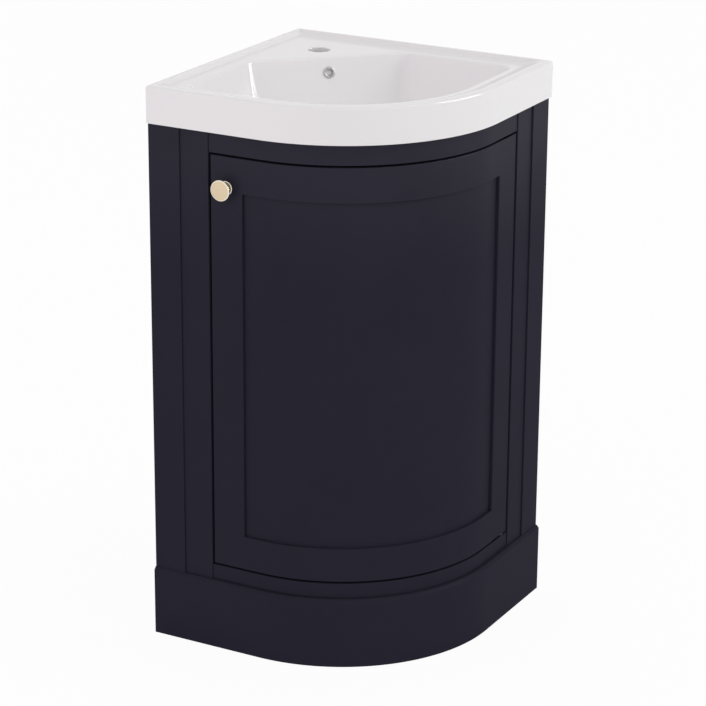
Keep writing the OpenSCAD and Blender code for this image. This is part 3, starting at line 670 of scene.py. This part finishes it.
class Skin:
    """A surface grown loop by loop, each loop extruded from the one before."""

    def __init__(self, shape, points, level):
        self.shape = shape
        self.verts = [shape.verts.new((*point, level)) for point in points]
        after = self.verts[1:] + self.verts[:1]
        self.edges = [shape.edges.new(pair) for pair in zip(self.verts, after)]

    def grow(self, points, level):
        """Extrudes the last loop to a loop of as many points at a level."""
        grown = bmesh.ops.extrude_edge_only(self.shape, edges=self.edges)["geom"]
        fresh = {v for v in grown if isinstance(v, bmesh.types.BMVert)}
        after = []
        for vert, point in zip(self.verts, points):
            follower = next(
                e.other_vert(vert) for e in vert.link_edges if e.other_vert(vert) in fresh
            )
            follower.co = (*point, level)
            after.append(follower)
        self.verts = after
        self.edges = [e for e in grown if isinstance(e, bmesh.types.BMEdge)]

    def grow_round(self, centre, radius, level):
        """Extrudes the last loop to a circle at a level."""
        away = [(v.co.xy - centre).normalized() for v in self.verts]
        self.grow([centre + way * radius for way in away], level)


class BasinForm:
    """The basin's levels, and its outlines seen from above."""

    def __init__(self, basin, cabinet):
        self.basin, self.cabinet = basin, cabinet
        self.deck = RIM_LEVEL - basin.deck_drop
        self.under_deck = self.deck - basin.deck_board
        self.floor = self.deck - basin.bowl_depth
        self.waste = Vector((basin.waste_place, -basin.waste_place))
        self.tap = Vector((basin.tap_place, -basin.tap_place))

    def rim(self, wall, front, corner):
        """The outer outline, set in from the walls and from the front."""
        face = PLINTH_FACE - front
        bow = face - self.cabinet.end_flat
        return rounded([
            ((wall, -wall), corner / 4, 6, 0),
            ((face, -wall), corner, 10, 0),
            ((face, -face), bow, self.cabinet.bow_steps, 0),
            ((wall, -face), corner, 10, 0),
        ])

    def bowl(self, inset):
        """The bowl's five-sided outline at an inset from its opening."""
        wall = self.basin.bowl_wall + inset
        face = PLINTH_FACE - self.basin.bowl_front - inset
        back = self.basin.bowl_back + inset * math.sqrt(2)
        corner = self.basin.bowl_round + max(0.0, -inset)
        bow = face - self.cabinet.end_flat
        return rounded([
            ((back - wall, -wall), corner, 8, 2),
            ((face, -wall), corner, 12, 2),
            ((face, -face), bow, self.cabinet.bow_steps, 2),
            ((wall, -face), corner, 12, 2),
            ((wall, -(back - wall)), corner, 8, 24),
        ])

    def wall_inset(self, angle):
        """Inset of the bowl's wall, from 0 degrees at its top to 90 at its floor."""
        draft = 0.12 * self.basin.bowl_depth * sine(angle)
        return self.basin.bowl_curve * (1 - cosine(angle)) + draft

    def overflow(self):
        """The overflow's centre on the bowl's back wall, and the way that it faces."""
        basin, near = self.basin, 3
        angle = math.degrees(math.asin(basin.overflow_drop / basin.bowl_depth))
        over, under = angle - near, angle + near
        drop = basin.bowl_depth * (sine(under) - sine(over))
        slope = (self.wall_inset(under) - self.wall_inset(over)) / drop
        out = basin.bowl_back / math.sqrt(2) + self.wall_inset(angle)
        diagonal = Vector((1, -1, 0)).normalized()
        level = self.deck - basin.overflow_drop
        return diagonal * out + UP * level, (diagonal + UP * slope).normalized()


# --- Operators ---


class VANITY_OT_cabinet(bpy.types.Operator):
    """Build the bent plinth and the end posts, and finish the inner boards"""

    bl_idname = "vanity.cabinet"
    bl_label = "Cabinet"

    def execute(self, context):
        cabinet, colours = context.scene.vanity_cabinet, context.scene.vanity_colours
        painted(colours.paint, cabinet.sheen_drop)
        board, bevel = cabinet.plinth_board, cabinet.plinth_bevel
        section = [
            (-board, 0.0), (0.0, 0.0), (0.0, PLINTH_TOP - bevel), (-bevel, PLINTH_TOP),
            (-board, PLINTH_TOP),
        ]
        plinth = bow_board(cabinet, PLINTH_FACE, 0.0, section, cabinet.board_edge)
        painted_board("plinth_board", plinth, "cabinet", "plinth")

        def post():
            shape = straight_board(
                (0, -POST_FACE, PLINTH_TOP), (POST_EDGE, -POST_BACK, CABINET_TOP)
            )
            ease(shape, edges_along(shape, "z", x=POST_EDGE), cabinet.board_edge)
            return shape

        mirrored_pair(post, "cabinet", "{}_post", "{}_end_post")
        foil, core = colours.board, colours.core
        dress(foiled("foiled_board_x", foil, core, "X"), "left_side_panel")
        dress(foiled("foiled_board_y", foil, core, "Y"), "right_side_panel")
        dress(foiled("foiled_board_z", foil, core, "Z"), "base_panel", "shelf")
        raw = foiled("raw_board", core, core, "Z")
        dress(raw, "corner_post", "corner_brace", "plinth_blocks", "door_stops")
        return {"FINISHED"}


class VANITY_OT_face_frame(bpy.types.Operator):
    """Build the face frame round the door's opening, its rails flush with the door"""

    bl_idname = "vanity.face_frame"
    bl_label = "Face frame"

    def execute(self, context):
        cabinet = context.scene.vanity_cabinet

        def stile():
            shape = straight_board(
                (POST_EDGE, -FRAME_FACE - cabinet.stile_step, PLINTH_TOP),
                (OPENING_EDGE, -FRAME_BACK, CABINET_TOP),
            )
            ease(shape, edges_along(shape, "z", x=OPENING_EDGE), cabinet.board_edge)
            return shape

        mirrored_pair(stile, "cabinet", "face_{}_stile", "frame_{}_stile")
        levels = {"top": (OPENING_TOP, CABINET_TOP), "bottom": (PLINTH_TOP, OPENING_BOTTOM)}
        bent_rails(
            cabinet, OPENING_EDGE, levels, "cabinet", "face_{}_rail", "frame_{}_rail",
            ends_show=True,
        )
        return {"FINISHED"}


class VANITY_OT_door(bpy.types.Operator):
    """Build the bowed door: two stiles, two bent rails and the bent panel in their grooves"""

    bl_idname = "vanity.door"
    bl_label = "Door"

    def execute(self, context):
        cabinet = context.scene.vanity_cabinet

        def stile():
            shape = straight_board(
                (DOOR_EDGE, -FRAME_FACE, DOOR_BOTTOM), (PANEL_EDGE, -FRAME_BACK, DOOR_TOP)
            )
            cut_across(shape, PANEL_BOTTOM, PANEL_TOP)
            outer = edges_along(shape, "z", x=DOOR_EDGE)
            for level in (DOOR_BOTTOM, DOOR_TOP):
                outer += edges_along(shape, "x", z=level)
            ease(shape, outer, cabinet.board_edge)
            inner = edges_along(shape, "z", PANEL_BOTTOM, PANEL_TOP, x=PANEL_EDGE)
            ease(shape, inner, cabinet.panel_edge)
            return shape

        mirrored_pair(stile, "door", "bowed_door_{}_stile", "door_{}_stile")
        levels = {"top": (PANEL_TOP, DOOR_TOP), "bottom": (DOOR_BOTTOM, PANEL_BOTTOM)}
        bent_rails(cabinet, PANEL_EDGE, levels, "door", "bowed_door_{}_rail", "door_{}_rail")
        low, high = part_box("door_panel")
        section = board_section(cabinet.panel_board, low.z, high.z)
        panel = bow_board(cabinet, high.x, low.x, section, 0.0)
        painted_board("bowed_door_panel", panel, "door", "door_panel")
        return {"FINISHED"}


class VANITY_OT_knob(bpy.types.Operator):
    """Turn the knob and its rose"""

    bl_idname = "vanity.knob"
    bl_label = "Knob"

    def execute(self, context):
        knob, colours = context.scene.vanity_knob, context.scene.vanity_colours
        origin = Vector((KNOB_PLACE.x, -FRAME_FACE, KNOB_PLACE.z))
        outwards = Vector((0, -1, 0))
        neck, thick, half = knob.neck_radius, knob.rose_board, knob.rose_board / 2
        reach = knob.head_radius - knob.border
        top = knob.head_reach + knob.head_rim
        # The span behind the head that gets the painted shade
        hollow = (thick + 0.0001, knob.head_reach + 0.0006, knob.head_radius - 0.0004)
        gold = turned_gold(colours, origin, reach, top - 0.0002, hollow)
        bore, nick, edge = 0.0021, 0.0003, 0.0004
        rose = lathe([
            (bore, 0.0), (knob.rose_radius - edge, 0.0), (knob.rose_radius, edge),
            *arc((knob.rose_radius - half, half), half, 0, 90, 10),
            (neck + 0.0016, thick), (neck + 0.0010, thick - nick), (bore, thick - nick),
            (bore, 0.0),
        ])
        stand(rose, origin, outwards)
        finished("turned_rose", rose, "door", "gold", gold, "knob_rose")
        foot = thick + 0.002
        cove = knob.head_reach - foot
        rim = knob.head_rim / 2
        head = lathe([
            (0.0, thick - nick), (neck - edge, thick - nick), (neck, thick + 0.0002),
            *arc((neck + cove, foot), cove, 180, 98, 20),
            *arc((knob.head_radius - rim, knob.head_reach + rim), rim, -80, 75, 15),
            (reach + 0.0003, top + 0.0002), (reach + 0.0001, top - 0.0001),
            *dome_arc(reach, knob.dome_rise, top + knob.dome_rise),
        ])
        stand(head, origin, outwards)
        finished("turned_knob", head, "door", "gold", gold, "knob")
        return {"FINISHED"}


class VANITY_OT_basin(bpy.types.Operator):
    """Form the ceramic basin loop by loop: apron, rim, upstands, deck and bowl"""

    bl_idname = "vanity.basin"
    bl_label = "Basin"

    def execute(self, context):
        basin, colours = context.scene.vanity_basin, context.scene.vanity_colours
        form = BasinForm(basin, context.scene.vanity_cabinet)
        shape = bmesh.new()
        # Each part of the skin gives its edges in the deck and in the deck's underside
        parts = [
            self.form_outside(shape, basin, form), self.form_bowl(shape, basin, form),
            self.form_tap_hole(shape, basin, form),
        ]
        for loops in zip(*parts):
            bmesh.ops.triangle_fill(shape, use_beauty=True, edges=sum(loops, []))
        self.add_duct(shape, basin, form)
        glaze = glazed(colours.glaze)
        piece = finished("ceramic_basin", shape, "cabinet", "ceramic", glaze, "basin")
        self.drill_overflow(context, piece, basin, form)
        self.add_ring(basin, form, colours)
        return {"FINISHED"}

    def form_outside(self, shape, basin, form):
        """The apron from its inner side round its foot, the rim, and down to the deck."""
        apron, foot, rise = basin.apron_board, basin.foot_round, basin.rim_round
        inner, outer = 0.004, 0.001  # radii of the upright corners
        skin = Skin(shape, form.rim(apron, apron, inner), form.under_deck)
        underside = list(skin.edges)
        skin.grow(form.rim(apron, apron, inner), CABINET_TOP + foot)
        skin.grow(form.rim(apron - foot, apron - foot, inner), CABINET_TOP)
        skin.grow(form.rim(foot, foot, outer), CABINET_TOP)
        for inset, level in arc((foot, CABINET_TOP + foot), foot, 250, 180, 4):
            skin.grow(form.rim(inset, inset, outer), level)
        for angle in range(0, 91, 9):
            inset = rise * (1 - cosine(angle))
            level = RIM_LEVEL - rise + rise * sine(angle)
            skin.grow(form.rim(inset * 0.4, inset, outer + inset), level)
        # The flat of the rim, then the slope of the front and the cove of the upstands
        for i in range(17):
            share = i / 16
            drop = share * share * (3 - 2 * share)
            cove = 1 - math.sqrt(max(0.0, 1 - drop * drop))
            outline = form.rim(
                basin.upstand_top + basin.upstand_cove * cove,
                basin.rim_top + basin.rim_slope * share,
                inner + (basin.deck_round - inner) * share,
            )
            skin.grow(outline, RIM_LEVEL - basin.deck_drop * drop)
        return skin.edges, underside

    def form_bowl(self, shape, basin, form):
        """The lip, the bowl, the waste hole with its boss, and the bowl's outside."""
        lip, depth, board = basin.lip_round, basin.bowl_depth, basin.bowl_board
        skin = Skin(shape, form.bowl(-lip - 0.0008), form.deck)
        deck = list(skin.edges)
        for i in range(1, 9):
            angle = 90 * i / 8
            skin.grow(form.bowl(-lip * (1 - sine(angle))), form.deck - lip * (1 - cosine(angle)))
        first = math.degrees(math.asin(lip / depth))
        for i in range(1, 27):
            angle = first + (90 - first) * i / 26
            skin.grow(form.bowl(form.wall_inset(angle)), form.deck - depth * sine(angle))
        hole, boss, floor = basin.waste_radius, basin.boss_radius, form.floor
        foot = floor - basin.boss_depth
        for radius, level in (
            (boss + 0.0080, floor), (boss + 0.0030, floor), (hole + 0.0012, floor),
            (hole, floor - 0.0012), (hole, foot + 0.0002), (hole + 0.0010, foot),
            (boss - 0.0005, foot), (boss, foot + 0.0005), (boss, floor - board - 0.0010),
            (boss + 0.0025, floor - board),
        ):
            skin.grow_round(form.waste, radius, level)
        for i in range(19):
            angle = 90 - (90 - 6) * i / 18
            level = min(form.deck - (depth + board) * sine(angle), form.under_deck)
            skin.grow(form.bowl(form.wall_inset(angle) - board), level)
        return deck, skin.edges

    def form_tap_hole(self, shape, basin, form):
        """The tap hole, rounded at the deck and open below."""
        radius, round_by = basin.tap_radius, basin.tap_round
        turns = [math.tau * i / 64 for i in range(64)]
        around = [Vector((math.cos(turn), math.sin(turn))) for turn in turns]
        circle = [form.tap + way * (radius + round_by) for way in around]
        skin = Skin(shape, circle, form.deck)
        deck = list(skin.edges)
        for angle in range(18, 91, 18):
            level = form.deck - round_by * (1 - cosine(angle))
            skin.grow_round(form.tap, radius + round_by * (1 - sine(angle)), level)
        skin.grow_round(form.tap, radius, form.under_deck)
        return deck, skin.edges

    def add_duct(self, shape, basin, form):
        """The casing of the overflow's duct, down the outside of the bowl's back."""
        shaded_hollow = 0.004  # how far the casing's ends lie inside the basin
        half = basin.duct_width / 2
        back = basin.bowl_back / math.sqrt(2) - 0.022
        front = basin.waste_place * math.sqrt(2) - basin.waste_radius - shaded_hollow
        top, bend = form.under_deck + shaded_hollow, form.under_deck - 0.038
        low = form.floor - basin.boss_depth
        # The casing's side, as distances from the room's corner and heights
        outline = [
            (back, top), (back, bend), (back + 0.052, low), (front, low),
            (front, form.floor - shaded_hollow), (back + 0.060, form.floor - 0.002),
            (back + 0.020, bend), (back + 0.016, top),
        ]
        casing = bmesh.new()
        side = casing.faces.new([casing.verts.new((x, -half, z)) for x, z in outline])
        pulled = bmesh.ops.extrude_face_region(casing, geom=[side])["geom"]
        moved = [v for v in pulled if isinstance(v, bmesh.types.BMVert)]
        bmesh.ops.translate(casing, vec=(0, 2 * half, 0), verts=moved)
        bmesh.ops.recalc_face_normals(casing, faces=casing.faces)
        ease(casing, sharp_edges(casing, lambda face: False), 0.003, 4)
        turn = Matrix.Rotation(-math.pi / 4, 4, "Z")
        bmesh.ops.transform(casing, matrix=turn, verts=casing.verts)
        duct = mesh_of("duct", casing)
        shape.from_mesh(duct)
        bpy.data.meshes.remove(duct)

    def drill_overflow(self, context, piece, basin, form):
        """Drills the overflow's blind hole into the bowl's back wall."""
        depth, clear, radius = 0.004, 0.008, basin.overflow_radius
        drill = lathe([(0.0, -depth), (radius, -depth), (radius, clear), (0.0, clear)], 48)
        stand(drill, *form.overflow())
        bmesh.ops.recalc_face_normals(drill, faces=drill.faces)
        tool = linked("drill", mesh_of("drill", drill))
        piece.modifiers.clear()
        cut = piece.modifiers.new("overflow", "BOOLEAN")
        cut.operation, cut.solver, cut.object = "DIFFERENCE", "EXACT", tool
        graph = context.evaluated_depsgraph_get()
        whole = piece.data
        piece.data = bpy.data.meshes.new_from_object(piece.evaluated_get(graph))
        piece.modifiers.clear()
        soften(piece, FORMED_CREASE)
        bpy.data.meshes.remove(whole)
        bpy.data.objects.remove(tool)

    def add_ring(self, basin, form, colours):
        """The plated ring of the overflow, with its collar in the hole."""
        foot, seat = -0.0035, 0.0001
        inner, outer = basin.overflow_radius - 0.0018, basin.ring_radius
        collar = basin.overflow_radius - 0.0003
        ring = lathe([
            (inner, foot), (collar, foot), (collar, seat), (outer - 0.0003, seat),
            *arc((outer - 0.0007, 0.0008), 0.0007, -20, 90, 8),
            *arc((inner + 0.0006, 0.0009), 0.0006, 90, 180, 8), (inner, foot),
        ], 72)
        stand(ring, *form.overflow())
        chrome = plated("plated_chrome", colours.chrome, 0.26, 0.01)
        finished("overflow_trim", ring, "cabinet", "chrome", chrome, "overflow_ring")


class VANITY_OT_waste(bpy.types.Operator):
    """Turn the domed plug and finish the waste below the bowl"""

    bl_idname = "vanity.waste"
    bl_label = "Waste"

    def execute(self, context):
        colours = context.scene.vanity_colours
        chrome = bpy.data.materials["plated_chrome"]
        low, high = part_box("waste_plug")
        radius, stem = (high.x - low.x) / 2, 0.004
        rise, board = 0.004, 0.0025
        rim = high.z - rise
        lip = rim - board
        edge, under, over = 0.0004, 0.0006, 0.0008
        plug = lathe([
            (0.0, low.z), (stem - edge, low.z), (stem, low.z + edge), (stem, lip),
            (radius - under, lip), *arc((radius - under, lip + under), under, -90, 0, 4),
            *arc((radius - over, rim - over), over, 0, 70, 5),
            *dome_arc(radius - 0.0005, rise, high.z),
        ])
        bmesh.ops.translate(plug, vec=(WASTE_PLACE.x, WASTE_PLACE.y, 0), verts=plug.verts)
        finished("domed_plug", plug, "waste_plug", "chrome", chrome, "waste_plug")
        dress(chrome, "waste_body", "waste_nut")
        dress(moulded("black_rubber", colours.rubber, 0.62, 0.00003), "waste_seals")
        dress(moulded("grey_nylon", colours.nylon, 0.42, 0.00002), "waste_cartridge")
        return {"FINISHED"}


class VANITY_OT_fittings(bpy.types.Operator):
    """Finish the pivots, screws, shelf pins, catch and its plate"""

    bl_idname = "vanity.fittings"
    bl_label = "Fittings"

    def execute(self, context):
        colours = context.scene.vanity_colours
        black = plated("black_oxide", colours.pivots, 0.38, 0.10)
        dress(
            black, "frame_pivot_plates", "pivot_pins", "frame_pivot_screws",
            "door_pivot_plates", "door_pivot_screws",
        )
        zinc = plated("zinc_plate", colours.zinc, 0.30, 0.06)
        dress(zinc, "shelf_pins", "catch_screws", "knob_screw", "strike_plate", "strike_screws")
        dress(bpy.data.materials["grey_nylon"], "pivot_washer", "catch_body")
        return {"FINISHED"}


class VANITY_OT_stage(bpy.types.Operator):
    """Lay the pale floor, light the unit softly and set the camera"""

    bl_idname = "vanity.stage"
    bl_label = "Stage"

    def execute(self, context):
        stage = context.scene.vanity_stage
        self.lay_floor(stage)
        self.light(context, stage)
        self.set_camera(context, stage)
        return {"FINISHED"}

    def background(self, finish):
        """1 for rays that show the background, and 0 for those that carry light."""
        path = finish.node("LightPath")
        seen = path.output("Is Camera Ray") + path.output("Is Glossy Ray")
        seen = seen + path.output("Is Transmission Ray")
        return finish.node("Math", {"operation": "MINIMUM"}, {0: seen, 1: 1.0})

    def lay_floor(self, stage):
        """A floor that shows white, but for the share of it that keeps the unit's shadow."""
        shape = bmesh.new()
        bmesh.ops.create_grid(shape, x_segments=1, y_segments=1, size=stage.floor_size / 2)
        floor = linked("floor", mesh_of("floor", shape))
        finish = Finish("pale_floor")
        white_share = self.background(finish) * (1.0 - stage.shadow_share)
        lit = finish.node("BsdfDiffuse", {}, {"Color": (*stage.floor_colour, 1.0)})
        white = finish.node("Emission", {}, {"Color": (1, 1, 1, 1), "Strength": 1.0})
        mixed = finish.node("MixShader", {}, {0: white_share, 1: lit, 2: white})
        finish.node("OutputMaterial", {}, {"Surface": mixed})
        floor.data.materials.append(finish.material)

    def light(self, context, stage):
        """Even light from all round, two soft lamps and a window for the highlights."""
        sky = Finish("studio", "worlds")
        context.scene.world = sky.material
        level = self.background(sky) * (1.0 - stage.sky_level) + stage.sky_level
        surface = sky.node("Background", {}, {"Color": (1, 1, 1, 1), "Strength": level})
        sky.node("OutputWorld", {}, {"Surface": surface})
        aim = Vector((0.25, -0.25, 0.55))
        right, front = Vector((3.9, 1.4, 2.4)), Vector((-0.6, -4.6, 2.5))
        neutral, warm = (1.0, 1.0, 1.0), (1.0, 0.87, 0.95)
        # The window only makes highlights, and the other two give the light that has no shape
        lamps = {
            "key": (right, (1.4, 1.4), stage.key_power, neutral),
            "fill": (front, (4.4, 4.4), stage.fill_power, warm),
            "window": (right, (2.8, 3.0), stage.window_power, neutral),
        }
        for name, (place, size, strength, tint) in lamps.items():
            lamp = bpy.data.lights.new(name, "AREA")
            lamp.shape, lamp.energy, lamp.color = "ELLIPSE", strength, tint
            lamp.size, lamp.size_y = size
            light = linked(name, lamp)
            light.visible_camera = False
            light.visible_glossy = name == "window"
            light.visible_diffuse = name != "window"
            light.location = place
            light.rotation_euler = (aim - place).to_track_quat("-Z", "Y").to_euler()

    def set_camera(self, context, stage):
        """The photograph's viewpoint, found by fitting a camera to the unit's edges."""
        camera = bpy.data.cameras.new("camera")
        camera.lens, camera.sensor_width = stage.lens, 36.0
        camera.clip_end = 200.0
        place = Matrix.Translation((2.0190, -3.5053, 1.7234))
        yaw = Matrix.Rotation(math.radians(28.733), 4, "Z")
        pitch = Matrix.Rotation(math.radians(90 - 19.300), 4, "X")
        roll = Matrix.Rotation(math.radians(0.383), 4, "Z")
        eye = linked("camera", camera)
        eye.matrix_world = place @ yaw @ pitch @ roll
        context.scene.camera = eye
        context.scene.view_settings.view_transform = "Standard"


OPERATORS = (
    VANITY_OT_cabinet, VANITY_OT_face_frame, VANITY_OT_door, VANITY_OT_knob, VANITY_OT_basin,
    VANITY_OT_waste, VANITY_OT_fittings, VANITY_OT_stage,
)


class VANITY_PT_panel(bpy.types.Panel):
    """The unit's pieces and settings in the sidebar"""

    bl_idname = "VANITY_PT_panel"
    bl_label = "Corner vanity unit"
    bl_space_type = "VIEW_3D"
    bl_region_type = "UI"
    bl_category = "Vanity"

    def draw(self, context):
        layout = self.layout
        for operator in OPERATORS:
            layout.operator(operator.bl_idname)
        for name in GROUPS:
            box = layout.box()
            group = getattr(context.scene, name)
            for key in group.__annotations__:
                box.prop(group, key)


def register():
    for group in GROUPS.values():
        bpy.utils.register_class(group)
    for name, group in GROUPS.items():
        setattr(bpy.types.Scene, name, bpy.props.PointerProperty(type=group))
    for operator in OPERATORS:
        bpy.utils.register_class(operator)
    bpy.utils.register_class(VANITY_PT_panel)


def unregister():
    bpy.utils.unregister_class(VANITY_PT_panel)
    for operator in reversed(OPERATORS):
        bpy.utils.unregister_class(operator)
    for name in GROUPS:
        delattr(bpy.types.Scene, name)
    for group in GROUPS.values():
        bpy.utils.unregister_class(group)


def main():
    register()
    for operator in OPERATORS:
        family, name = operator.bl_idname.split(".")
        getattr(getattr(bpy.ops, family), name)()


if __name__ == "__main__":
    main()
